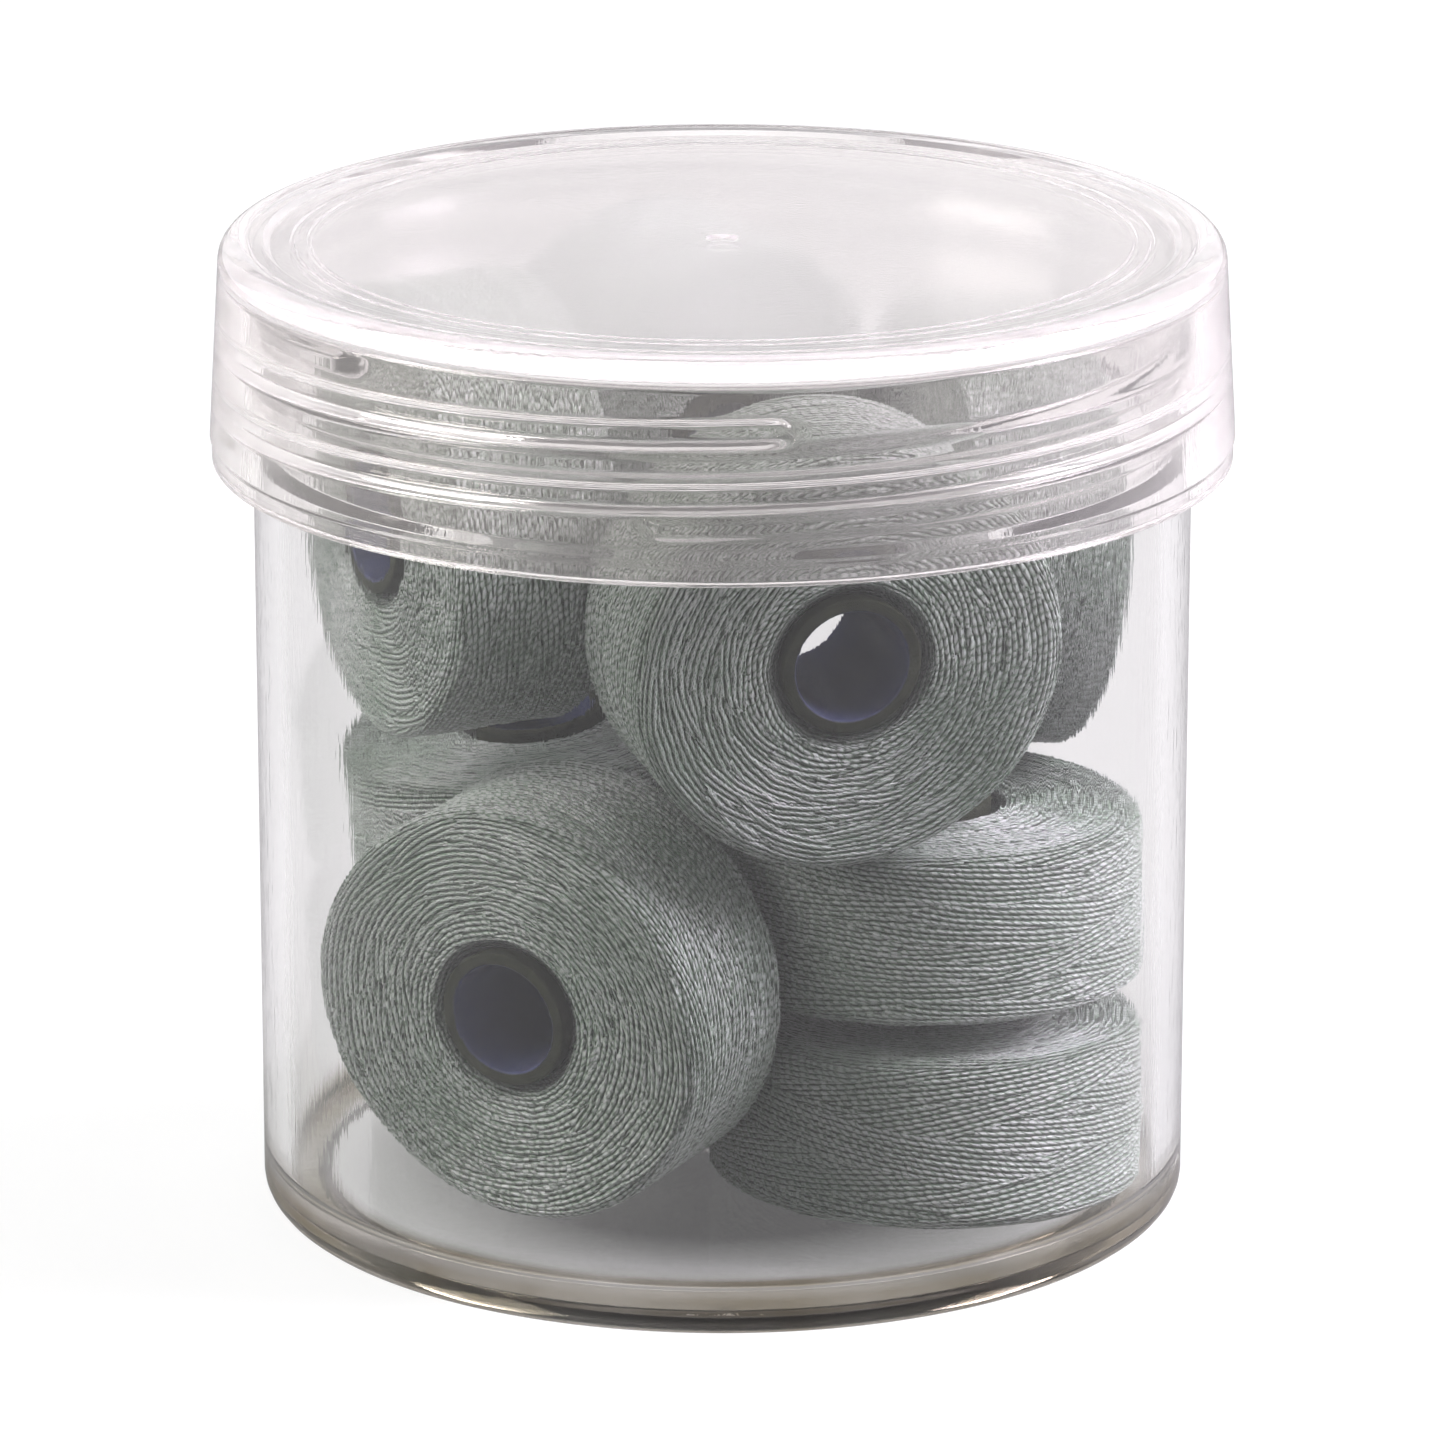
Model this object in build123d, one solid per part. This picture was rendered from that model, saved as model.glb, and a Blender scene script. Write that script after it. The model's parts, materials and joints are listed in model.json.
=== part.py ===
"""A round clear screw-top jar of sideless pre-wound sewing-machine bobbins.

Millimetres, +Z up. The origin is the centre of the jar's standing ring, on the surface it stands on.
The jar's axis is Z, and -Y is its front.
"""

from build123d import *
import math
import os

# --- jar -------------------------------------------------------------------------------------
JAR_RADIUS = 25.5            # outside of the body
INNER_RADIUS = 24.0          # inside of the body and of the neck
JAR_HEIGHT = 52.1            # standing ring to lip
FLOOR = 2.2                  # upper face of the floor
BODY_TOP = 43.0              # shoulder where the body steps in to the neck
SHOULDER_SLOPE = 0.4         # how far the shoulder rises towards the neck
NECK_RADIUS = 24.95          # outside of the neck, below the thread
FOOT_ROUND = 1.3             # outside corner of the foot
FLOOR_ROUND = 0.8            # inside corner between floor and wall
LIP_ROUND = 0.35             # both edges of the lip
RECESS_RADIUS = 22.4         # underside recess inside the standing ring
RECESS_DEPTH = 0.8
RECESS_SLOPE = 0.6           # how far the recess's wall leans in

# --- lid -------------------------------------------------------------------------------------
LID_BOTTOM = 42.1            # lower edge of the skirt
LID_TOP = 54.1               # top of the raised rim
LID_BOTTOM_RADIUS = 27.9     # the skirt widens downwards
LID_TOP_RADIUS = 27.2
LID_BORE = 26.2              # inside of the skirt, between the thread's turns
PANEL_UNDERSIDE = 52.6       # inside of the lid's top panel
LID_EDGE_ROUND = 1.1         # outside top edge
LID_CORNER_ROUND = 0.5       # inside corner between panel and skirt
RIM_STEP_RADIUS = 24.5       # the panel lies a step lower inside this radius
PANEL_DROP = 0.25
GRIP_BAND_HEIGHT = 1.1       # plain band at the skirt's lower edge
GRIP_BAND_STEP = 0.16        # how far that band is set in
RING_RADII = (22.3, 23.2, 25.7)   # fine turned rings on the top panel and its rim
RING_DEPTH = 0.08
RING_WIDTH = 0.22
GATE_RADIUS = 0.7            # moulding gate marks at the middle of the lid and of the base
GATE_DEPTH = 0.15

# --- closure thread, one start, right hand ----------------------------------------------------
PITCH = 3.4
THREAD_DEPTH = 0.85
ROOT_HALF_WIDTH = 0.70
CREST_HALF_WIDTH = 0.42
THREAD_SINK = 0.25           # how far a ridge's root is sunk into its wall
JAR_THREAD_START = -97.0     # degrees round the jar, 0 on +X
JAR_THREAD_LOW = 44.7        # height of the ridge's middle at its lower end
JAR_THREAD_TURNS = 1.88
LID_THREAD_START = 60.0
LID_THREAD_TURNS = 1.6

# --- liner disc -------------------------------------------------------------------------------
LINER_RADIUS = 25.4
LINER_UNDERSIDE = JAR_HEIGHT
LINER_THICKNESS = PANEL_UNDERSIDE - LINER_UNDERSIDE

# --- bobbins ----------------------------------------------------------------------------------
BOBBIN_RADIUS = 11.7
BOBBIN_WIDTH = 9.8           # over the core tube's ends
WINDING_WIDTH = 9.7
SHOULDER_ROUND = 0.9         # outer edges of the winding
CORE_RADIUS = 3.75           # outside of the card tube
CORE_BORE = 3.05
CORE_CHAMFER = 0.12
DISH_RADIUS = 4.45           # the winding's ends dip towards the core inside this radius
DISH_DEPTH = 0.9

# Where each bobbin lies, clear of its neighbours by 0.1 mm or more: its centre's bearing round the
# jar and distance from the jar's axis, the centre's height, then the tilt of the bobbin's own axis
# from upright and its heading. A tilt near 0 lies flat, and a tilt near 90 stands on edge.
BOBBINS = {
    "low_right": (332.9, 12.2, 7.6, 1.9, 69.6),          # flat on the floor
    "low_rear": (139.0, 11.6, 7.7, 2.5, 125.1),          # flat on the floor
    "stacked_right": (334.9, 12.0, 19.1, 1.1, 133.7),    # flat, over low_right
    "middle_left": (145.0, 11.9, 20.6, 8.2, 203.8),      # leaning, over low_rear
    "front_left": (235.9, 15.9, 15.7, 94.0, 237.9),      # on edge against the wall
    "upper_front": (288.5, 16.2, 36.2, 94.9, 288.4),     # on edge, over stacked_right
    "upper_right": (19.4, 15.5, 36.0, 94.9, 14.7),       # on edge, over stacked_right
    "upper_left": (199.1, 15.2, 39.9, 90.0, 206.3),      # on edge, over middle_left
    "upper_rear": (105.3, 12.7, 39.3, 100.7, 311.8),     # on edge, behind the others
}


def body_of_revolution(points):
    """A solid turned about Z from a closed outline of (radius, height) points."""
    outline = make_face(Polyline(*[(r, 0, z) for r, z in points], close=True))
    return revolve(outline, Axis.Z, 360)


def edges_at(solid, radius, height):
    """The circular edges of a turned solid that have this radius and height."""
    return solid.edges().filter_by(
        lambda e: e.geom_type == GeomType.CIRCLE
        and abs(e.radius - radius) < 1e-3
        and abs(e.arc_center.Z - height) < 1e-3
    )


def thread_ridge(wall_radius, outward, start_angle, low, turns):
    """One helical ridge standing out of a wall, with a rounded end at each end of its run."""
    sink = -THREAD_SINK if outward else THREAD_SINK
    depth = THREAD_DEPTH if outward else -THREAD_DEPTH
    root = wall_radius + sink
    crest = wall_radius + depth
    section = make_face(
        Polyline(
            (root, 0, -ROOT_HALF_WIDTH),
            (crest, 0, -CREST_HALF_WIDTH),
            (crest, 0, CREST_HALF_WIDTH),
            (root, 0, ROOT_HALF_WIDTH),
            close=True,
        )
    )
    path = Helix(pitch=PITCH, height=PITCH * turns, radius=wall_radius)
    ridge = sweep(section, path=path, is_frenet=True)
    ends = []
    for angle in (0.0, 360.0 * turns):
        middle = (root + crest) / 2
        peg = Cylinder((ROOT_HALF_WIDTH + CREST_HALF_WIDTH) / 2, abs(crest - root))
        peg = Pos(middle, 0, 0) * Rot(0, 90, 0) * peg
        ends.append(Pos(0, 0, PITCH * angle / 360.0) * Rot(0, 0, angle) * peg)
    ridge = ridge + ends
    return Pos(0, 0, low) * Rot(0, 0, start_angle) * ridge


def jar():
    """The clear jar: body, stepped-in neck with its thread, thick floor and standing ring."""
    shell = body_of_revolution(
        [
            (0, RECESS_DEPTH),
            (RECESS_RADIUS - RECESS_SLOPE, RECESS_DEPTH),
            (RECESS_RADIUS, 0),
            (JAR_RADIUS, 0),
            (JAR_RADIUS, BODY_TOP),
            (NECK_RADIUS, BODY_TOP + SHOULDER_SLOPE),
            (NECK_RADIUS, JAR_HEIGHT),
            (INNER_RADIUS, JAR_HEIGHT),
            (INNER_RADIUS, FLOOR),
            (0, FLOOR),
        ]
    )
    shell = fillet(edges_at(shell, JAR_RADIUS, 0), FOOT_ROUND)
    shell = fillet(edges_at(shell, INNER_RADIUS, FLOOR), FLOOR_ROUND)
    lip_edges = edges_at(shell, NECK_RADIUS, JAR_HEIGHT) + edges_at(shell, INNER_RADIUS, JAR_HEIGHT)
    shell = fillet(lip_edges, LIP_ROUND)
    gate = Pos(0, 0, RECESS_DEPTH - GATE_DEPTH / 2) * Cylinder(GATE_RADIUS, GATE_DEPTH)
    ridge = thread_ridge(NECK_RADIUS, True, JAR_THREAD_START, JAR_THREAD_LOW, JAR_THREAD_TURNS)
    return shell + gate + ridge


def lid_thread_low():
    """Height of the lid ridge's lower end: midway between turns of the jar's ridge."""
    along = (LID_THREAD_START - JAR_THREAD_START) / 360.0
    return JAR_THREAD_LOW + PITCH * (along - 0.5)


def lid():
    """The screw lid: rimmed top panel, skirt with a set-in lower band, and inside thread."""
    slope = (LID_BOTTOM_RADIUS - LID_TOP_RADIUS) / (LID_TOP - LID_BOTTOM)
    band_top = LID_BOTTOM + GRIP_BAND_HEIGHT
    band_radius = LID_BOTTOM_RADIUS - slope * GRIP_BAND_HEIGHT
    shell = body_of_revolution(
        [
            (0, PANEL_UNDERSIDE),
            (LID_BORE, PANEL_UNDERSIDE),
            (LID_BORE, LID_BOTTOM),
            (LID_BOTTOM_RADIUS - GRIP_BAND_STEP, LID_BOTTOM),
            (LID_BOTTOM_RADIUS - GRIP_BAND_STEP, band_top),
            (band_radius, band_top + GRIP_BAND_STEP),
            (LID_TOP_RADIUS, LID_TOP),
            (RIM_STEP_RADIUS + PANEL_DROP, LID_TOP),
            (RIM_STEP_RADIUS, LID_TOP - PANEL_DROP),
            (0, LID_TOP - PANEL_DROP),
        ]
    )
    shell = fillet(edges_at(shell, LID_TOP_RADIUS, LID_TOP), LID_EDGE_ROUND)
    shell = fillet(edges_at(shell, LID_BORE, PANEL_UNDERSIDE), LID_CORNER_ROUND)
    for radius in RING_RADII:
        top = LID_TOP if radius > RIM_STEP_RADIUS else LID_TOP - PANEL_DROP
        ring = Cylinder(radius + RING_WIDTH / 2, 2 * RING_DEPTH)
        ring -= Cylinder(radius - RING_WIDTH / 2, 2 * RING_DEPTH)
        shell -= Pos(0, 0, top) * ring
    shell -= Pos(0, 0, LID_TOP - PANEL_DROP) * Cylinder(GATE_RADIUS, 2 * GATE_DEPTH)
    ridge = thread_ridge(LID_BORE, False, LID_THREAD_START, lid_thread_low(), LID_THREAD_TURNS)
    return shell + ridge


def liner():
    """The thin clear disc held between the lid's panel and the jar's lip."""
    disc = Cylinder(LINER_RADIUS, LINER_THICKNESS)
    return Pos(0, 0, LINER_UNDERSIDE + LINER_THICKNESS / 2) * disc


def core():
    """The card tube that a bobbin's thread is wound on, about Z and centred on the origin."""
    tube = Cylinder(CORE_RADIUS, BOBBIN_WIDTH) - Cylinder(CORE_BORE, BOBBIN_WIDTH)
    return chamfer(tube.edges().filter_by(GeomType.CIRCLE), CORE_CHAMFER)


def winding():
    """The wound thread as one closed ring: round shoulders, and ends that dip near the core."""
    half = WINDING_WIDTH / 2
    ring = body_of_revolution(
        [
            (CORE_RADIUS, half - DISH_DEPTH),
            (DISH_RADIUS, half),
            (BOBBIN_RADIUS, half),
            (BOBBIN_RADIUS, -half),
            (DISH_RADIUS, -half),
            (CORE_RADIUS, DISH_DEPTH - half),
        ]
    )
    shoulders = edges_at(ring, BOBBIN_RADIUS, half) + edges_at(ring, BOBBIN_RADIUS, -half)
    return fillet(shoulders, SHOULDER_ROUND)


def place(bearing, reach, height, tilt, heading):
    """The location that stands a bobbin's own Z axis where it lies in the jar."""
    bearing, tilt, heading = (math.radians(a) for a in (bearing, tilt, heading))
    centre = (reach * math.cos(bearing), reach * math.sin(bearing), height)
    axis = (math.sin(tilt) * math.cos(heading), math.sin(tilt) * math.sin(heading), math.cos(tilt))
    return Plane(origin=centre, z_dir=axis).location


def main():
    nodes = {"jar": jar(), "lid": lid(), "lid_liner": liner()}
    tube, thread = core(), winding()
    for name, where in BOBBINS.items():
        nodes[f"bobbin_{name}_core"] = place(*where) * tube
        nodes[f"bobbin_{name}_winding"] = place(*where) * thread
    os.makedirs("parts", exist_ok=True)
    for name, shape in nodes.items():
        export_step(shape, f"parts/{name}.step")
        print(f"{name:34} volume {shape.volume:9.1f} mm3")


main()
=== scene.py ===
"""Looks for the bobbin box: a clear screw-top jar filled with loose pre-wound bobbins.

Shapes are worked out in millimetres and written to meshes in metres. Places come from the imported
frame: the heights of the jar, lid and liner, and each bobbin's own joint.
"""

import bpy
import json
import math

import numpy as np
from mathutils import Matrix, Vector


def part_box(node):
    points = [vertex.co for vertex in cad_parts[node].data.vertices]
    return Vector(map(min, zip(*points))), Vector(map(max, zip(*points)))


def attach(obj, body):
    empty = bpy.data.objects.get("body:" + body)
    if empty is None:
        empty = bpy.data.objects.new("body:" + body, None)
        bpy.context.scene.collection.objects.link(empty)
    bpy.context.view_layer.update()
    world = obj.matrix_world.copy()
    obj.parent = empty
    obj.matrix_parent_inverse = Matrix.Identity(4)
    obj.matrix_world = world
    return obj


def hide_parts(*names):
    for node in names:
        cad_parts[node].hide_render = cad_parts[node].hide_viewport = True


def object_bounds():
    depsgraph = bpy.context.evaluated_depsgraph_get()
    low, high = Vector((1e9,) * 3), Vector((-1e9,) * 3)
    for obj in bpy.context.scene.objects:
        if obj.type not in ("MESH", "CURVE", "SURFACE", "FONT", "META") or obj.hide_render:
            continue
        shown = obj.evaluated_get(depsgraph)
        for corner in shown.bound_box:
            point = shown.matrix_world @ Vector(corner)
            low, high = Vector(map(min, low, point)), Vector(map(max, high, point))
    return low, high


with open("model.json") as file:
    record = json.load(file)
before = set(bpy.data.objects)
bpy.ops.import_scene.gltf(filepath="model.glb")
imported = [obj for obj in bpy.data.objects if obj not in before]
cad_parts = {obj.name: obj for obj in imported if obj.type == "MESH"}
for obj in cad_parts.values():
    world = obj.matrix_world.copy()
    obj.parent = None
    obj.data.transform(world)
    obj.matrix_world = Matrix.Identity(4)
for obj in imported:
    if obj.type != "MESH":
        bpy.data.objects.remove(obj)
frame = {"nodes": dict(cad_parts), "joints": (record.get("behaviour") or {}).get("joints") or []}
cad_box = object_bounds()

MM = 0.001
TURN = 2 * math.pi

# --- the jar, as in the CAD (mm) ----------------------------------------------------------------
JAR_RADIUS = 25.5
INNER_RADIUS = 24.0
JAR_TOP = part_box("jar")[1].z / MM
FLOOR = 2.2
BODY_TOP = 43.0
SHOULDER_SLOPE = 0.4
NECK_RADIUS = 24.95
FOOT_ROUND = 1.3
FLOOR_ROUND = 0.8
LIP_ROUND = 0.35
RECESS_RADIUS = 22.4
RECESS_SLOPE = 0.6
RECESS_DEPTH = 0.8

# --- the lid and its liner (mm) -----------------------------------------------------------------
LID_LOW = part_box("lid")[0].z / MM
LID_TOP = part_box("lid")[1].z / MM
LID_LOW_RADIUS = 27.9
LID_TOP_RADIUS = 27.2
LID_BORE = 26.2
LID_EDGE_ROUND = 1.1
LID_CORNER_ROUND = 0.5
PANEL_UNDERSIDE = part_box("lid_liner")[1].z / MM
PANEL_TOP = LID_TOP - 0.25
RIM_STEP_RADIUS = 24.5
GRIP_BAND_HEIGHT = 1.1
GRIP_BAND_STEP = 0.16
RIM_RING = 25.7
PANEL_RINGS = (23.2, 22.3)
RING_DEPTH = 0.08
RING_WIDTH = 0.22
GATE_RADIUS = 0.7
GATE_DEPTH = 0.15
LINER_RADIUS = 25.4
LINER_AIR = 0.03             # air between the liner and what it lies against
EASED = 0.12                 # radius of an edge that is only just broken

# --- closure thread (mm, degrees) ---------------------------------------------------------------
PITCH = 3.4
THREAD_DEPTH = 0.85
ROOT_HALF_WIDTH = 0.95
CREST_HALF_WIDTH = 0.30
JAR_THREAD = {"start": -97.0, "low": 44.7, "turns": 1.88}
LID_THREAD_START = 60.0
LID_THREAD = {
    "start": LID_THREAD_START,
    "low": JAR_THREAD["low"] + PITCH * ((LID_THREAD_START - JAR_THREAD["start"]) / 360 - 0.5),
    "turns": 1.6,
}

# --- windings (mm) ------------------------------------------------------------------------------
STRAND = 0.31                # spacing of neighbouring strands
STRAND_RELIEF = 0.14         # crest to groove
UNEVEN_RELIEF = 0.05         # how much lower some strands lie than others
BUNDLE_RELIEF = 0.06         # how far bundles of strands lie over and under one another
BUNDLE_COUNT = 520           # bundles laid on one winding, the later ones over the earlier
BARREL_BUNDLE = (7.0, 20.0)  # half lengths of bundles on the barrel
FACE_BUNDLE = (1.0, 3.2)     # half lengths of bundles on the end faces
BUNDLE_SLOPE = 0.18          # the steepest lie of a bundle across the winding
PLY_LENGTH = 0.50            # along a strand, from one ply to the next
SHOULDER = 0.9
DISH_RADIUS = 4.45
DISH_DEPTH = 0.9
SAMPLES_PER_STRAND = 4.4
WINDING_SEGMENTS = 268
WINDING_VARIANTS = 3
FIRST_SEED = 40              # the variants take this seed and the next ones

# --- mesh fineness --------------------------------------------------------------------------------
JAR_SEGMENTS = 288
CORE_SEGMENTS = 96
THREAD_STEP = 0.11           # height of the mesh rows on a threaded wall (mm)
SUPPORT = 0.12               # how close a flat's end rows lie to its corners (mm)
LONGEST_ROW = 4.0            # the widest mesh row on a flat (mm)

# --- light ----------------------------------------------------------------------------------------
FLOOR_GLOW = 0.82            # the floor's own light, clear of the jar
SHADED_GLOW = 0.12           # and under the middle of the jar
SHADE_RADII = (12.0, 22.4)   # the shade under the jar fades out between these (mm)
MIRRORED_GLOW = 0.20         # share of the floor's light that a mirror image of it shows
SCATTERED_GLOW = 0.62        # share of it that lights what stands on it
SKY_BEFORE = 0.08            # strength of the surroundings on the side that the jar is seen from
SKY_BEHIND = 0.80            # and behind the jar

# --- plastics: what clear_plastic is given for each moulding -----------------------------------------
PLASTICS = {
    "jar": {
        "tint": (0.85, 0.845, 0.845),
        "foot_tint": (0.18, 0.15, 0.10),
        "haze": 0.0,
        "gloss": 0.2,
        "roughness": 0.012,
        "shadow_tint": (0.95, 0.955, 0.95),
    },
    "lid": {
        "tint": (0.84, 0.82, 0.81),
        "haze": 0.04,
        "gloss": 0.25,
        "roughness": 0.004,
        "shadow_tint": (0.88, 0.88, 0.87),
    },
    "liner": {
        "tint": (0.98, 0.98, 0.98),
        "haze": 0.01,
        "gloss": 0.08,
        "roughness": 0.003,
        "shadow_tint": (0.95, 0.95, 0.95),
    },
}


# ================================ mesh helpers ================================================
def link(name, mesh):
    obj = bpy.data.objects.new(name, mesh)
    bpy.context.scene.collection.objects.link(obj)
    return obj


def smooth_mesh(name, verts, faces, surface):
    """A smooth-shaded mesh from millimetre points."""
    mesh = bpy.data.meshes.new(name)
    mesh.from_pydata((np.asarray(verts) * MM).tolist(), [], faces)
    mesh.shade_smooth()
    mesh.materials.append(surface)
    return mesh


def rounded_path(corners, steps=6):
    """(r, z) points through corners that are given as (r, z, fillet radius)."""
    path = []
    for i, (r, z, fillet) in enumerate(corners):
        here = np.array([r, z])
        if fillet == 0:
            path.append(here)
            continue
        before = np.array(corners[i - 1][:2]) - here
        after = np.array(corners[i + 1][:2]) - here
        before /= np.linalg.norm(before)
        after /= np.linalg.norm(after)
        half = math.acos(np.clip(before @ after, -1, 1)) / 2
        reach = fillet / math.tan(half)
        centre = here + (before + after) / np.linalg.norm(before + after) * fillet / math.sin(half)
        start, end = here + before * reach - centre, here + after * reach - centre
        sweep = math.acos(np.clip(start @ end / fillet**2, -1, 1))
        for k in range(steps + 1):
            near, far = math.sin((1 - k / steps) * sweep), math.sin(k / steps * sweep)
            path.append(centre + (near * start + far * end) / math.sin(sweep))
    return path


def divided(path, wall_radius=None):
    """The path with rows beside its corners, and fine rows up a threaded wall."""
    out = [path[0]]
    for a, b in zip(path[:-1], path[1:]):
        length = np.linalg.norm(b - a)
        on_wall = wall_radius and abs(a[0] - wall_radius) < 0.01 and abs(b[0] - wall_radius) < 0.01
        if on_wall:
            places = np.linspace(0, 1, math.ceil(length / THREAD_STEP) + 1)[1:]
        elif length > 4 * SUPPORT:
            inner = np.linspace(SUPPORT, length - SUPPORT, math.ceil(length / LONGEST_ROW) + 1)
            places = np.append(inner / length, 1.0)
        else:
            places = [1.0]
        out += [a + (b - a) * place for place in places]
    return out


def ring_quads(rows, columns, closed):
    """Quads between neighbouring rings of points; the last ring meets the first if closed."""
    i = np.arange(rows if closed else rows - 1)[:, None]
    j = np.arange(columns)[None, :]
    following, beside = (i + 1) % rows, (j + 1) % columns
    corners = [i * columns + j, i * columns + beside, following * columns + beside, following * columns + j]
    return np.stack(corners, -1).reshape(-1, 4)


def lathe(name, path, segments, surface, relief=None):
    """A closed turned mesh. The path runs from pole to pole, or closes on itself."""
    path = np.array(path)
    on_axis = path[0][0] < 1e-6
    rings = path[1:-1] if on_axis else path
    theta = np.linspace(0, TURN, segments, endpoint=False)
    radius = np.repeat(rings[:, :1], segments, axis=1)
    height = np.repeat(rings[:, 1:], segments, axis=1)
    if relief is not None:
        radius = radius + relief(np.broadcast_to(theta, radius.shape), radius, height)
    verts = np.stack([radius * np.cos(theta), radius * np.sin(theta), height], -1).reshape(-1, 3)
    faces = ring_quads(len(rings), segments, closed=not on_axis).tolist()
    if on_axis:
        first, final = len(verts), len(verts) + 1
        verts = np.vstack([verts, [0, 0, path[0][1]], [0, 0, path[-1][1]]])
        last_ring = (len(rings) - 1) * segments
        for j in range(segments):
            beside = (j + 1) % segments
            faces.append((first, beside, j))
            faces.append((final, last_ring + j, last_ring + beside))
    return smooth_mesh(name, verts, faces, surface)


def smoothstep(x):
    x = np.clip(x, 0, 1)
    return x * x * (3 - 2 * x)


def ridge(theta, height, wall_radius, thread):
    """Height of a helical ridge over its wall, with round ends, at each (angle, height)."""
    along = (theta - math.radians(thread["start"])) % TURN / TURN
    nearest = np.full(theta.shape, 1e9)
    for lap in range(-1, math.ceil(thread["turns"]) + 1):
        turns = along + lap
        inside = np.clip(turns, 0, thread["turns"])
        past_end = (turns - inside) * TURN * wall_radius
        off_line = height - (thread["low"] + PITCH * inside)
        nearest = np.minimum(nearest, np.hypot(past_end, off_line))
    slope = (ROOT_HALF_WIDTH - nearest) / (ROOT_HALF_WIDTH - CREST_HALF_WIDTH)
    return THREAD_DEPTH * smoothstep(slope)


def take_place(piece, node_name, body):
    """Stands a piece in for its CAD node, on that node's body."""
    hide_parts(node_name)
    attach(piece, body)


# ================================ node helpers ================================================
def material(name):
    """A new node material: itself, its tree, its Principled shader and its output."""
    made = bpy.data.materials.new(name)
    made.use_nodes = True
    tree = made.node_tree
    return made, tree, tree.nodes["Principled BSDF"], tree.nodes["Material Output"]


def node(tree, kind, inputs=None, **settings):
    """A new node with its settings, and its inputs linked or set."""
    made = tree.nodes.new(kind)
    for key, value in settings.items():
        setattr(made, key, value)
    for key, value in (inputs or {}).items():
        if isinstance(value, bpy.types.NodeSocket):
            tree.links.new(value, made.inputs[key])
        else:
            made.inputs[key].default_value = value
    return made


def maths(tree, operation, a, b=0.0, c=0.0):
    return node(tree, "ShaderNodeMath", {0: a, 1: b, 2: c}, operation=operation).outputs[0]


def between(tree, value, low, high, start, end):
    """The value carried from low..high to start..end, and held at both ends."""
    inputs = {"Value": value, "From Min": low, "From Max": high, "To Min": start, "To Max": end}
    return node(tree, "ShaderNodeMapRange", inputs).outputs["Result"]


def ramp(tree, factor, stops):
    """A colour ramp through (place, colour) stops."""
    made = node(tree, "ShaderNodeValToRGB", {"Fac": factor})
    elements = made.color_ramp.elements
    while len(elements) < len(stops):
        elements.new(0.5)
    for element, (place, colour) in zip(elements, stops):
        element.position = place
        element.color = (*colour, 1)
    return made.outputs["Color"]


def blend(tree, factor, a, b):
    inputs = {"Factor": factor, "A": a, "B": b}
    return node(tree, "ShaderNodeMix", inputs, data_type="RGBA").outputs["Result"]


def noise(tree, vector, scale, detail=3.0, roughness=0.5):
    inputs = {"Vector": vector, "Scale": scale, "Detail": detail, "Roughness": roughness}
    return node(tree, "ShaderNodeTexNoise", inputs).outputs["Fac"]


def bump(tree, shader, height, strength, distance):
    made = node(tree, "ShaderNodeBump", {"Height": height, "Strength": strength, "Distance": distance})
    tree.links.new(made.outputs["Normal"], shader.inputs["Normal"])


def place_in_metres(tree):
    return node(tree, "ShaderNodeTexCoord").outputs["Object"]


def from_axis(tree, place):
    """How far a place is from the jar's axis, in metres."""
    level = node(tree, "ShaderNodeVectorMath", {0: place, 1: (1, 1, 0)}, operation="MULTIPLY").outputs[0]
    return node(tree, "ShaderNodeVectorMath", {0: level}, operation="LENGTH").outputs["Value"]


# ================================ materials ===================================================
def clear_plastic(name, tint, haze, gloss, roughness, shadow_tint, foot_tint=None):
    """Moulded clear plastic. Haze is its milky share; a shadow ray passes with shadow_tint.

    Where a foot_tint is given, the plastic has it low down and outside the recess, where it is thick.
    """
    made, tree, shader, output = material(name)
    place = place_in_metres(tree)
    shader.inputs["IOR"].default_value = 1.5
    shader.inputs["Transmission Weight"].default_value = 1 - haze
    shader.inputs["Specular IOR Level"].default_value = gloss
    shader.inputs["Base Color"].default_value = (*tint, 1)
    flow = noise(tree, place, 90, 4, 0.6)
    if foot_tint:
        height = node(tree, "ShaderNodeSeparateXYZ", {0: place}).outputs["Z"]
        edge = RECESS_RADIUS * MM
        outside = between(tree, from_axis(tree, place), edge - MM, edge, 0.0, 1.0)
        low = between(tree, height, FLOOR * MM, (FLOOR + 1.5) * MM, 1.0, 0.0)
        in_foot = maths(tree, "MULTIPLY", outside, low)
        deep = maths(tree, "MULTIPLY", in_foot, between(tree, flow, 0.3, 0.6, 0.7, 1.0))
        tree.links.new(blend(tree, deep, (*tint, 1), (*foot_tint, 1)), shader.inputs["Base Color"])
    tree.links.new(between(tree, flow, 0.35, 0.75, roughness, 2.2 * roughness), shader.inputs["Roughness"])
    stretched = node(tree, "ShaderNodeMapping", {"Vector": place, "Scale": (1, 1, 0.12)})
    scratches = noise(tree, stretched.outputs["Vector"], 2600, 2, 0.7)
    waviness = noise(tree, place, 60, 2, 0.4)
    bump(tree, shader, maths(tree, "MULTIPLY_ADD", waviness, 6.0, scratches), 0.35, 0.000012)
    rays = node(tree, "ShaderNodeLightPath")
    through = node(tree, "ShaderNodeBsdfTransparent", {"Color": (*shadow_tint, 1)})
    inputs = {0: rays.outputs["Is Shadow Ray"], 1: shader.outputs["BSDF"], 2: through.outputs["BSDF"]}
    mix = node(tree, "ShaderNodeMixShader", inputs)
    tree.links.new(mix.outputs["Shader"], output.inputs["Surface"])
    return made


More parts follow.
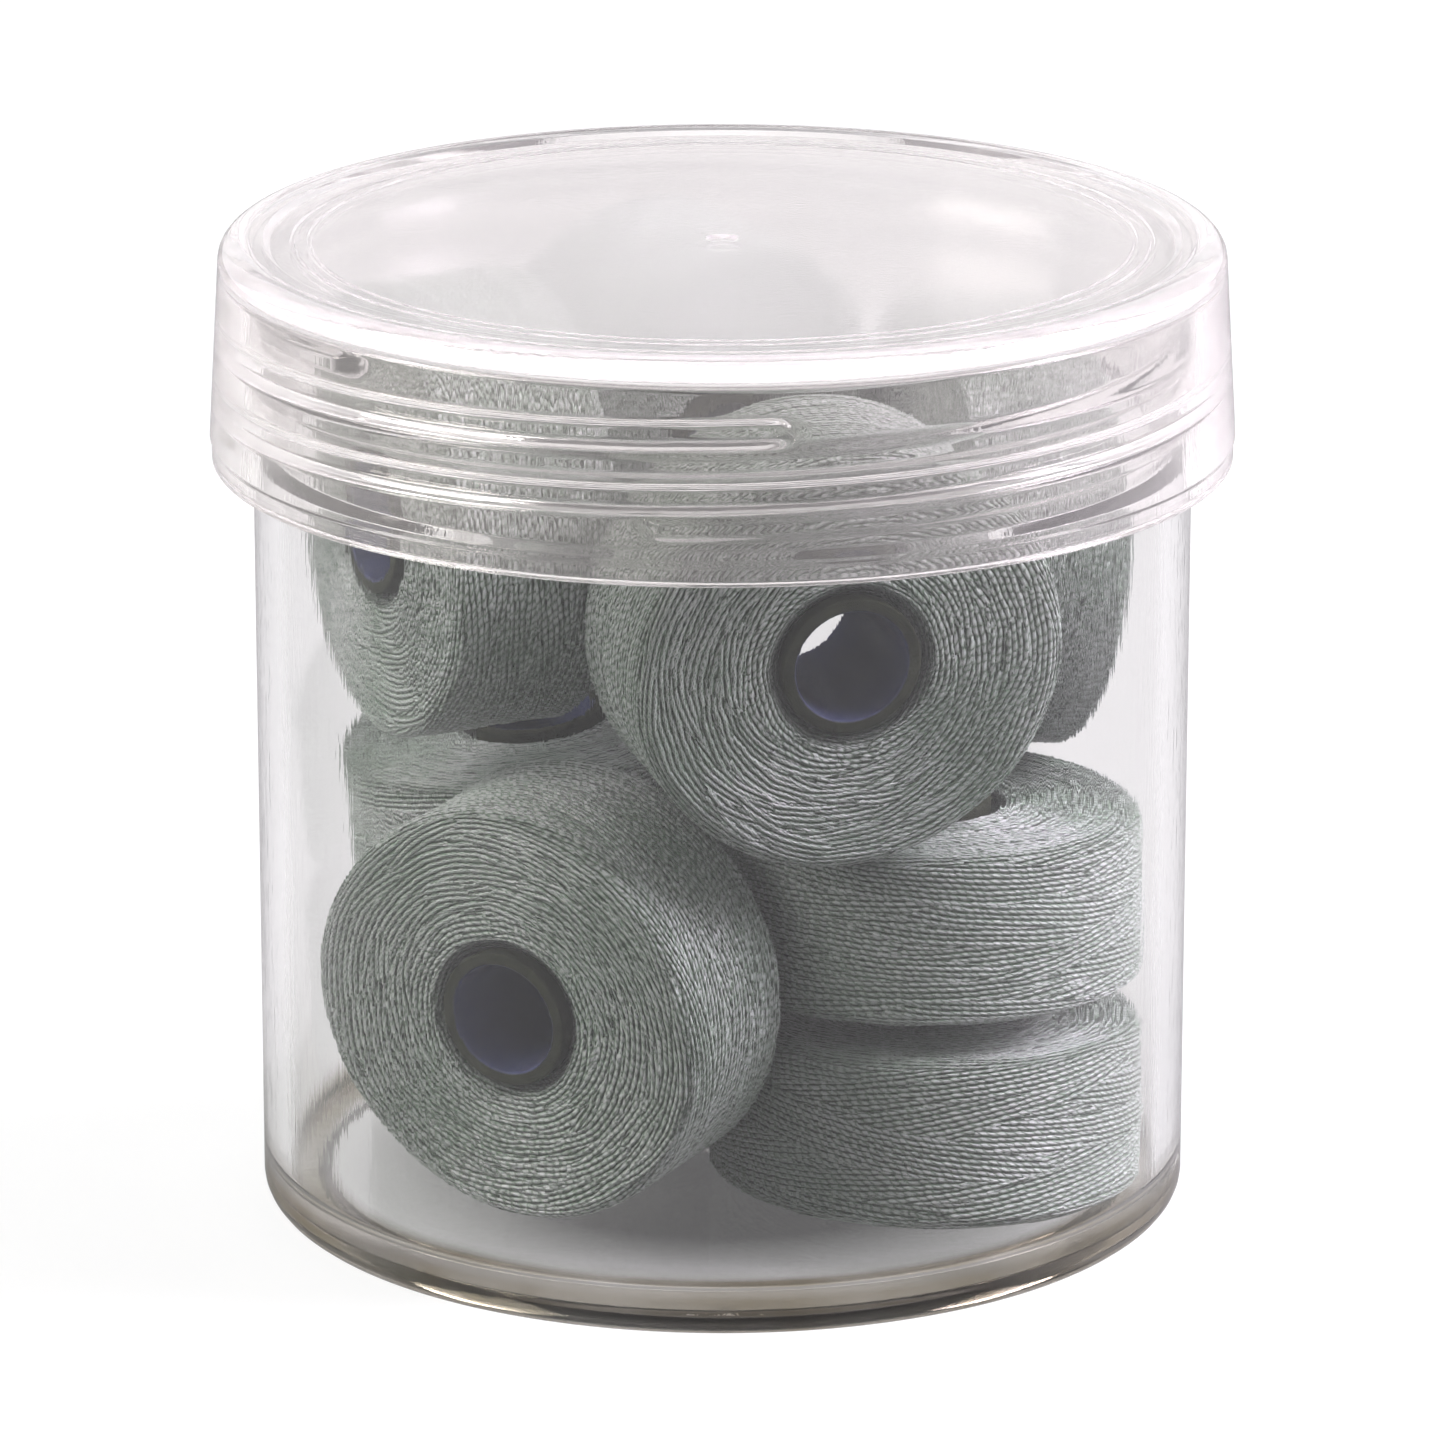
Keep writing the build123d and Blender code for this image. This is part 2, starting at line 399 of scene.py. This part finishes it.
def thread_material():
    """Twisted filament thread, with painted shade in the gaps between strands and in the recess round the
    core, and painted light and shade along the plies. The mesh says how far along and across the strands a
    point is, and how deep in the recess round the core.
    """
    made, tree, shader, _ = material("thread_grey_green")
    place = place_in_metres(tree)
    lay = node(tree, "ShaderNodeAttribute", attribute_name="lay").outputs["Vector"]
    parts = node(tree, "ShaderNodeSeparateXYZ", {0: lay}).outputs
    along, across, painted_recess_shade = parts["X"], parts["Y"], parts["Z"]
    strand = maths(tree, "FLOOR", across)
    dice = node(tree, "ShaderNodeTexWhiteNoise", {"W": strand}, noise_dimensions="1D")
    chance = dice.outputs["Value"]
    side = maths(tree, "MULTIPLY_ADD", maths(tree, "FRACT", across), 2.0, -1.0)
    crown = maths(tree, "SUBTRACT", 1.0, maths(tree, "MULTIPLY", side, side))

    # the plies lie slantwise over the strand, and out of step with the strand beside it
    own_start = maths(tree, "MULTIPLY", chance, 9.0)
    drift = maths(tree, "MULTIPLY_ADD", noise(tree, place, 700, 2), 1.6, own_start)
    turns = maths(tree, "MULTIPLY_ADD", along, 1 / PLY_LENGTH, drift)
    slant = maths(tree, "MULTIPLY_ADD", side, 0.42, turns)
    ply = maths(tree, "ABSOLUTE", maths(tree, "SINE", maths(tree, "MULTIPLY", slant, math.pi)))
    ply = maths(tree, "POWER", ply, 0.6)

    # a strand is narrow where a ply turns under; the gap beside it gets painted shade, a dark dash between
    # strands
    swell = maths(tree, "MULTIPLY", maths(tree, "SINE", maths(tree, "MULTIPLY", turns, math.pi)), side)
    edge = maths(tree, "MULTIPLY_ADD", swell, 0.30, maths(tree, "ABSOLUTE", side))
    free_of_gap_shade = between(tree, edge, 0.52, 0.95, 1.0, 0.0)

    fibre_place = {"X": along, "Y": maths(tree, "MULTIPLY", across, 6.0), "Z": chance}
    fibres = noise(tree, node(tree, "ShaderNodeCombineXYZ", fibre_place).outputs[0], 3.0, 4, 0.65)
    body = maths(tree, "MULTIPLY", crown, maths(tree, "MULTIPLY_ADD", ply, 0.5, 0.5))
    bump(tree, shader, maths(tree, "MULTIPLY_ADD", fibres, 0.22, body), 1.0, 0.00014)

    # painted light and shade: lighter on each ply's crest, darker between plies and dark in the gaps; fibres
    # and a per-strand draw add random tone
    lit = maths(tree, "MULTIPLY", free_of_gap_shade, maths(tree, "MULTIPLY_ADD", ply, 0.66, 0.26))
    lit = maths(tree, "MULTIPLY_ADD", maths(tree, "SUBTRACT", fibres, 0.5), 0.30, lit)
    lit = maths(tree, "MULTIPLY_ADD", maths(tree, "SUBTRACT", chance, 0.5), 0.14, lit)
    # the colour of the painted shade, in the gaps and in the recess round the core
    dark = (0.003, 0.012, 0.003)
    base = ramp(
        tree,
        lit,
        [
            (0.06, dark),
            (0.30, (0.025, 0.052, 0.024)),
            (0.60, (0.098, 0.130, 0.099)),
            (0.90, (0.232, 0.252, 0.240)),
        ],
    )
    patches = between(tree, noise(tree, place, 150, 3), 0.45, 0.75, 0.0, 0.45)
    base = blend(tree, patches, base, (0.030, 0.070, 0.032, 1))
    # painted shade: the thread darkens deep in the dished recess round the core
    base = blend(tree, painted_recess_shade, base, (*dark, 1))
    tree.links.new(base, shader.inputs["Base Color"])
    tree.links.new(maths(tree, "MULTIPLY_ADD", fibres, 0.20, 0.20), shader.inputs["Roughness"])
    shader.inputs["Specular IOR Level"].default_value = 0.62
    shader.inputs["Specular Tint"].default_value = (0.97, 0.84, 1.0, 1)
    return made


def card_material(bore):
    """Dark wound card, glossy and bluish inside its bore. The mesh says how far out a point is."""
    made, tree, shader, _ = material("card_core_dark")
    place = place_in_metres(tree)
    reach = node(tree, "ShaderNodeAttribute", attribute_name="reach").outputs["Fac"]
    waver = maths(tree, "MULTIPLY", noise(tree, place, 500, 2), 4.0)
    layers = maths(tree, "SINE", maths(tree, "MULTIPLY_ADD", reach, 36.0, waver))
    fibres = noise(tree, place, 1200, 3, 0.6)
    mottled = maths(tree, "MULTIPLY_ADD", layers, 0.08, fibres)
    outer = ramp(tree, mottled, [(0.3, (0.005, 0.006, 0.003)), (0.75, (0.017, 0.019, 0.011))])
    inner = ramp(tree, fibres, [(0.3, (0.018, 0.021, 0.050)), (0.8, (0.027, 0.031, 0.068))])
    in_bore = between(tree, reach, bore + 0.03, bore + 0.10, 1.0, 0.0)
    tree.links.new(blend(tree, in_bore, outer, inner), shader.inputs["Base Color"])
    rough = maths(tree, "MULTIPLY_ADD", in_bore, -0.45, 0.72)
    tree.links.new(maths(tree, "MULTIPLY_ADD", fibres, 0.12, rough), shader.inputs["Roughness"])
    shader.inputs["Specular IOR Level"].default_value = 0.04
    bump(tree, shader, maths(tree, "MULTIPLY", mottled, maths(tree, "SUBTRACT", 1.0, in_bore)), 0.3, 0.00002)
    return made


def floor_material():
    """White to look at and shaded under the jar, but it throws little light back up."""
    made, tree, shader, _ = material("pale_floor")
    place = place_in_metres(tree)
    speckle = noise(tree, place, 40, 2)
    colour = ramp(tree, speckle, [(0.3, (0.095, 0.095, 0.095)), (0.7, (0.105, 0.105, 0.105))])
    tree.links.new(colour, shader.inputs["Base Color"])
    shader.inputs["Roughness"].default_value = 0.8
    shader.inputs["Specular IOR Level"].default_value = 0.1
    shader.inputs["Emission Color"].default_value = (1, 1, 1, 1)
    inner, outer = (radius * MM for radius in SHADE_RADII)
    shaded = between(tree, from_axis(tree, place), inner, outer, SHADED_GLOW, FLOOR_GLOW)
    rays = node(tree, "ShaderNodeLightPath").outputs
    mirrored = between(tree, rays["Is Reflection Ray"], 0.0, 1.0, 1.0, MIRRORED_GLOW)
    scattered = between(tree, rays["Is Diffuse Ray"], 0.0, 1.0, 1.0, SCATTERED_GLOW)
    strength = maths(tree, "MULTIPLY", maths(tree, "MULTIPLY", shaded, mirrored), scattered)
    tree.links.new(strength, shader.inputs["Emission Strength"])
    return made


# ================================ jar, lid, liner ==============================================
def build_jar(plastic):
    corners = [
        (0, RECESS_DEPTH - GATE_DEPTH, 0),
        (GATE_RADIUS, RECESS_DEPTH - GATE_DEPTH, 0),
        (GATE_RADIUS + GATE_DEPTH, RECESS_DEPTH, 0),
        (RECESS_RADIUS - RECESS_SLOPE, RECESS_DEPTH, EASED),
        (RECESS_RADIUS, 0, EASED),
        (JAR_RADIUS, 0, FOOT_ROUND),
        (JAR_RADIUS, BODY_TOP, EASED),
        (NECK_RADIUS, BODY_TOP + SHOULDER_SLOPE, EASED),
        (NECK_RADIUS, JAR_TOP, LIP_ROUND),
        (INNER_RADIUS, JAR_TOP, LIP_ROUND),
        (INNER_RADIUS, FLOOR, FLOOR_ROUND),
        (0, FLOOR, 0),
    ]

    def relief(theta, radius, height):
        on_neck = (radius > NECK_RADIUS - LIP_ROUND) & (height > BODY_TOP + SHOULDER_SLOPE)
        return np.where(on_neck, ridge(theta, height, NECK_RADIUS, JAR_THREAD), 0)

    path = divided(rounded_path(corners), NECK_RADIUS)
    mesh = lathe("jar_clear", path, JAR_SEGMENTS, plastic, relief)
    take_place(link("jar_clear", mesh), "jar", "jar")


def turned_groove(radius, top):
    """Corners of one fine V groove turned into a flat top, from its outer edge inwards."""
    half = RING_WIDTH / 2
    return [(radius + half, top, 0), (radius, top - RING_DEPTH, 0), (radius - half, top, 0)]


def build_lid(plastic):
    slope = (LID_LOW_RADIUS - LID_TOP_RADIUS) / (LID_TOP - LID_LOW)
    band_radius = LID_LOW_RADIUS - GRIP_BAND_STEP
    band_top = LID_LOW + GRIP_BAND_HEIGHT
    corners = [
        (0, PANEL_UNDERSIDE, 0),
        (LID_BORE, PANEL_UNDERSIDE, LID_CORNER_ROUND),
        (LID_BORE, LID_LOW, EASED),
        (band_radius, LID_LOW, EASED),
        (band_radius, band_top, 0),
        (LID_LOW_RADIUS - slope * GRIP_BAND_HEIGHT, band_top + GRIP_BAND_STEP, 0),
        (LID_TOP_RADIUS, LID_TOP, LID_EDGE_ROUND),
        *turned_groove(RIM_RING, LID_TOP),
        (RIM_STEP_RADIUS + LID_TOP - PANEL_TOP, LID_TOP, 0),
        (RIM_STEP_RADIUS, PANEL_TOP, 0),
    ]
    for radius in PANEL_RINGS:
        corners += turned_groove(radius, PANEL_TOP)
    corners += [
        (GATE_RADIUS + GATE_DEPTH, PANEL_TOP, 0),
        (GATE_RADIUS, PANEL_TOP - GATE_DEPTH, 0),
        (0, PANEL_TOP - GATE_DEPTH, 0),
    ]

    def relief(theta, radius, height):
        on_bore = (np.abs(radius - LID_BORE) < 0.6) & (height < PANEL_UNDERSIDE - 0.2)
        return np.where(on_bore, -ridge(theta, height, LID_BORE, LID_THREAD), 0)

    path = divided(rounded_path(corners), LID_BORE)
    mesh = lathe("lid_clear", path, JAR_SEGMENTS, plastic, relief)
    take_place(link("lid_clear", mesh), "lid", "lid")


def build_liner(plastic):
    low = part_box("lid_liner")[0].z / MM + LINER_AIR
    high = PANEL_UNDERSIDE - LINER_AIR
    corners = [(0, low, 0), (LINER_RADIUS, low, EASED), (LINER_RADIUS, high, EASED), (0, high, 0)]
    mesh = lathe("liner_disc", divided(rounded_path(corners)), JAR_SEGMENTS, plastic)
    take_place(link("liner_disc", mesh), "lid_liner", "liner")


# ================================ bobbins =====================================================
def measured(node_name, joint):
    """Inner radius, outer radius and half width (mm) of a CAD ring round its joint's axis."""
    points = np.array([v.co for v in frame["nodes"][node_name].data.vertices]) / MM
    axis = np.array(joint["axis"])
    from_centre = points - np.array(joint["pos_m"]) / MM
    along = from_centre @ axis
    reach = np.linalg.norm(from_centre - along[:, None] * axis, axis=1)
    return reach.min(), reach.max(), np.abs(along).max()


def wave(theta, s, rng, turns, size, lean, count):
    """A smooth random offset, periodic round the bobbin, that changes across the strands too."""
    total = np.zeros(np.broadcast(theta, s).shape)
    for _ in range(count):
        phase = rng.integers(turns[0], turns[1] + 1) * theta + rng.uniform(-lean, lean) * s
        total += size * rng.normal() * np.sin(phase + rng.uniform(0, TURN))
    return total / math.sqrt(count)


def winding_profile(core_radius, radius, half):
    """Evenly spaced points round the winding, from its lower inner edge out and up, and normals."""
    corners = [
        (core_radius, DISH_DEPTH - half, 0),
        (DISH_RADIUS, -half, 0.5),
        (radius, -half, SHOULDER),
        (radius, half, SHOULDER),
        (DISH_RADIUS, half, 0.5),
        (core_radius, half - DISH_DEPTH, 0),
    ]
    path = np.array(rounded_path(corners, 8))
    lengths = np.concatenate([[0], np.cumsum(np.linalg.norm(np.diff(path, axis=0), axis=1))])
    s = np.linspace(0, lengths[-1], round(lengths[-1] / STRAND * SAMPLES_PER_STRAND))
    points = np.stack([np.interp(s, lengths, path[:, 0]), np.interp(s, lengths, path[:, 1])], -1)
    tangent = np.gradient(points, axis=0)
    tangent /= np.linalg.norm(tangent, axis=1)[:, None]
    normal = np.stack([tangent[:, 1], -tangent[:, 0]], -1)
    return s, points, normal


def lay_of_strands(theta, s, reach, half_barrel, rng):
    """Strand coordinate and height of the topmost thread at each (angle, length)."""
    middle = s.max() / 2
    on_barrel = smoothstep((half_barrel - np.abs(s - middle)) / 0.9)
    ripples = wave(theta, s, rng, (3, 9), 0.07, 1.6, 5) + wave(theta, s, rng, (14, 34), 0.03, 5.0, 9)
    across = (s + ripples) / STRAND
    swell = wave(theta, s, rng, (1, 4), 0.05, 1.0, 4)
    height = swell.copy()
    for number in range(1, BUNDLE_COUNT + 1):
        line, angle = rng.uniform(0, s.max()), rng.uniform(0, TURN)
        around = abs(line - middle) < half_barrel
        half_length = rng.uniform(*(BARREL_BUNDLE if around else FACE_BUNDLE))
        half_width = STRAND * rng.integers(2, 5) / (1 if around else 2)
        slope = rng.uniform(-BUNDLE_SLOPE, BUNDLE_SLOPE)
        near = np.flatnonzero(np.abs(s[:, 0] - line) < half_width + abs(slope) * half_length + 0.4)
        near = slice(near[0], near[-1] + 1)
        along = ((theta - angle + math.pi) % TURN - math.pi) * reach[near]
        offset = s[near] - line + 0.5 * ripples[near] - slope * along
        covers = np.abs(offset) < half_width * (1 - (along / half_length) ** 4)
        covers &= (on_barrel[near] > 0.3) == around
        across[near] = np.where(covers, offset / STRAND + 50.0 * number, across[near])
        height[near] = np.where(covers, swell[near] + rng.uniform(0, BUNDLE_RELIEF), height[near])
    return across, height


def winding_mesh(name, core_radius, radius, half, seed, thread):
    """The wound thread: every strand's crest and groove is in the mesh."""
    rng = np.random.default_rng(seed)
    s, points, normal = winding_profile(core_radius, radius, half)
    theta = np.linspace(0, TURN, WINDING_SEGMENTS, endpoint=False)[None, :]
    grid_s = s[:, None] + 0 * theta
    across, height = lay_of_strands(theta, grid_s, points[:, :1], half, rng)
    number = np.floor(across)
    crown = np.sqrt(np.clip(1 - (2 * (across - number) - 1) ** 2, 0, 1))
    uneven = 0.5 + 0.5 * np.sin(number * 12.9898) * np.sin(number * 4.1414)
    lift = STRAND_RELIEF * (crown - 1) - UNEVEN_RELIEF * uneven + height - height.max()
    lift = lift * smoothstep(np.minimum(grid_s, s[-1] - grid_s) / 0.5)
    r = points[:, :1] + normal[:, :1] * lift
    z = points[:, 1:] + normal[:, 1:] * lift
    verts = np.stack([r * np.cos(theta), r * np.sin(theta), z], -1).reshape(-1, 3)
    rows, columns = r.shape
    mesh = smooth_mesh(name, verts, ring_quads(rows, columns, closed=True).tolist(), thread)

    # each face corner's place along and across the strands, so that the seam doesn't smear
    row, column = np.arange(rows), np.arange(columns)
    next_row, next_column = (row + 1) % rows, (column + 1) % columns
    length_of_turn = np.maximum(points[:, 0], radius / 2)[:, None] * TURN
    # painted shade for the thread deep in the dished recess round the core, strongest at the core
    painted_recess_shade = smoothstep((DISH_RADIUS + 0.25 - points[:, :1]) / 0.8)
    lay = np.zeros((rows, columns, 4, 3), np.float32)
    for corner, (at_row, at_column, step) in enumerate(
        [(row, column, 0), (row, next_column, 1), (next_row, next_column, 1), (next_row, column, 0)]
    ):
        lay[:, :, corner, 0] = length_of_turn * (column + step) / columns
        lay[:, :, corner, 1] = across[at_row][:, at_column]
        lay[:, :, corner, 2] = painted_recess_shade[at_row]
    # a face between two bundles goes on with the strands of its first corner
    torn = np.ptp(lay[..., 1], axis=2) > 2
    to_next_row = (s[1] - s[0]) / STRAND * np.array([0, 0, 1, 1])
    lay[torn, :, 1] = lay[torn, :1, 1] + to_next_row
    attribute = mesh.attributes.new("lay", "FLOAT_VECTOR", "CORNER")
    attribute.data.foreach_set("vector", lay.reshape(-1))
    return mesh


def core_mesh(name, bore, radius, half, card):
    corners = [
        (bore, 0, 0),
        (bore, -half, EASED),
        (radius, -half, EASED),
        (radius, half, EASED),
        (bore, half, EASED),
        (bore, SUPPORT, 0),
    ]
    mesh = lathe(name, divided(rounded_path(corners, 3)), CORE_SEGMENTS, card)
    attribute = mesh.attributes.new("reach", "FLOAT", "POINT")
    attribute.data.foreach_set("value", [math.hypot(v.co.x, v.co.y) / MM for v in mesh.vertices])
    return mesh


def on_joint(joint, spin):
    """The matrix that puts a piece modelled round Z on a bobbin's axis."""
    turn = Vector((0, 0, 1)).rotation_difference(Vector(joint["axis"])).to_matrix().to_4x4()
    return Matrix.Translation(joint["pos_m"]) @ turn @ Matrix.Rotation(spin, 4, "Z")


def build_bobbins():
    joints = [j for j in frame["joints"] if j["name"].endswith("_spin")]
    body = joints[0]["child"]
    bore, core_radius, core_half = measured(body + "_core", joints[0])
    _, radius, half = measured(body + "_winding", joints[0])
    thread, card = thread_material(), card_material(bore)
    windings = [
        winding_mesh(f"winding_{n}", core_radius, radius, half, FIRST_SEED + n, thread)
        for n in range(WINDING_VARIANTS)
    ]
    tube = core_mesh("card_tube", bore, core_radius, core_half, card)
    for index, joint in enumerate(joints):
        body = joint["child"]
        pieces = {"_winding": ("thread", windings[index % WINDING_VARIANTS]), "_core": ("card_core", tube)}
        for ending, (slot, mesh) in pieces.items():
            own = mesh.copy()
            own.transform(on_joint(joint, 2.4 * index))
            take_place(link(body + ending + "_look", own), body + ending, body)


# ================================ stage =======================================================
def build_floor(surface):
    reach = 3.0
    mesh = bpy.data.meshes.new("floor")
    corners = [(-reach, -reach, 0), (reach, -reach, 0), (reach, reach, 0), (-reach, reach, 0)]
    mesh.from_pydata(corners, [], [(0, 1, 2, 3)])
    mesh.materials.append(surface)
    floor = link("floor", mesh)
    floor.location.z = cad_box[0].z


def softbox(name, place, size, power, colour=(1, 1, 1)):
    """A rectangular lamp in metres that points at the middle of the jar."""
    lamp = bpy.data.lights.new(name, "AREA")
    lamp.shape = "RECTANGLE"
    lamp.size, lamp.size_y = size
    lamp.energy = power
    lamp.color = colour
    obj = link(name, lamp)
    obj.location = place
    towards = Vector((0, 0, LID_TOP * MM / 2)) - Vector(place)
    obj.rotation_euler = towards.to_track_quat("-Z", "Y").to_euler()


def build_world():
    """Pale all round, greyer on the side that the jar is seen from."""
    world = bpy.data.worlds.new("studio")
    bpy.context.scene.world = world
    world.use_nodes = True
    tree = world.node_tree
    background = tree.nodes["Background"]
    background.inputs["Color"].default_value = (0.98, 0.98, 1.0, 1)
    direction = node(tree, "ShaderNodeTexCoord").outputs["Generated"]
    backwards = node(tree, "ShaderNodeSeparateXYZ", {0: direction}).outputs["Y"]
    strength = between(tree, backwards, -0.5, 0.6, SKY_BEFORE, SKY_BEHIND)
    tree.links.new(strength, background.inputs["Strength"])


def build_lights():
    softbox("key_right", (0.56, 0.02, 0.42), (0.30, 0.34), 17.5, (0.96, 0.89, 1.0))
    softbox("fill_left", (-0.56, -0.12, 0.42), (0.42, 0.40), 8.2, (1.0, 0.98, 0.95))
    softbox("top", (0.0, 0.15, 0.80), (0.70, 0.70), 0.7)


def build_camera():
    """In front and a little above, far enough off for the jar's sides to look parallel."""
    distance, elevation = 0.478, math.radians(16.9)
    aim = Vector((0, 0, 0.0265))
    lens = bpy.data.cameras.new("camera")
    lens.lens = 216.8
    lens.sensor_width = 36
    lens.clip_start = 0.01
    obj = link("camera", lens)
    obj.location = aim + distance * Vector((0, -math.cos(elevation), math.sin(elevation)))
    obj.rotation_euler = (aim - obj.location).to_track_quat("-Z", "Y").to_euler()
    bpy.context.scene.camera = obj


def main():
    scene = bpy.context.scene
    scene.view_settings.view_transform = "Standard"
    scene.cycles.transparent_max_bounces = 24
    scene.cycles.transmission_bounces = 16
    scene.cycles.glossy_bounces = 16
    scene.cycles.max_bounces = 18
    for build, slot in ((build_jar, "jar"), (build_lid, "lid"), (build_liner, "liner")):
        build(clear_plastic(slot + "_plastic", **PLASTICS[slot]))
    build_bobbins()
    build_floor(floor_material())
    build_world()
    build_lights()
    build_camera()


main()
